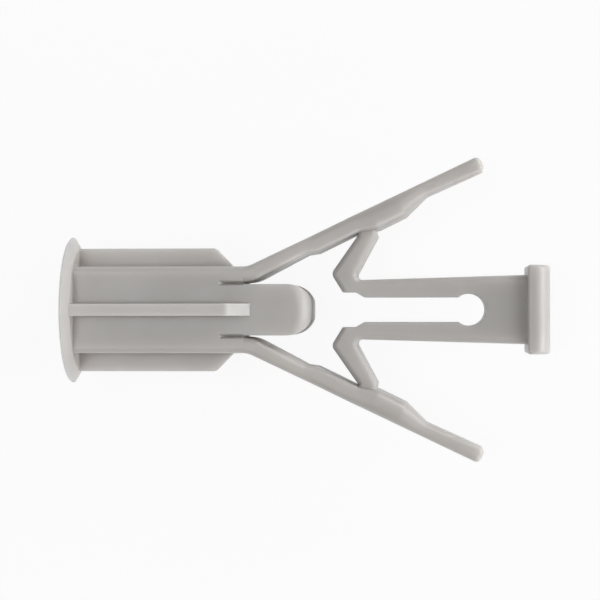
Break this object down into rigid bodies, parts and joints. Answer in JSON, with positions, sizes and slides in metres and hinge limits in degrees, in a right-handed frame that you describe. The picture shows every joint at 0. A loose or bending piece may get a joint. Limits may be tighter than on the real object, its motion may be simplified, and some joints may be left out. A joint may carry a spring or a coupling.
{
  "type": "drywall anchor",
  "caption": "One-piece nylon toggle anchor: a flanged square barrel with fins, two hinged wings, and struts to a slotted tail that draws them in.",
  "frame": {"origin": "on the screw axis, in the plane of the wall, which is the underside of the flange", "axes": "+X along the screw axis from the flange into the wall; +Y towards one wing; +Z square to the plane in which the wings open"},
  "size_m": [0.0311, 0.0196, 0.0094],
  "materials": {
    "nylon": "satin moulded nylon, light warm grey"
  },
  "bodies": {
    "root": {"drywall_anchor": "nylon"}
  },
  "joints": []
}
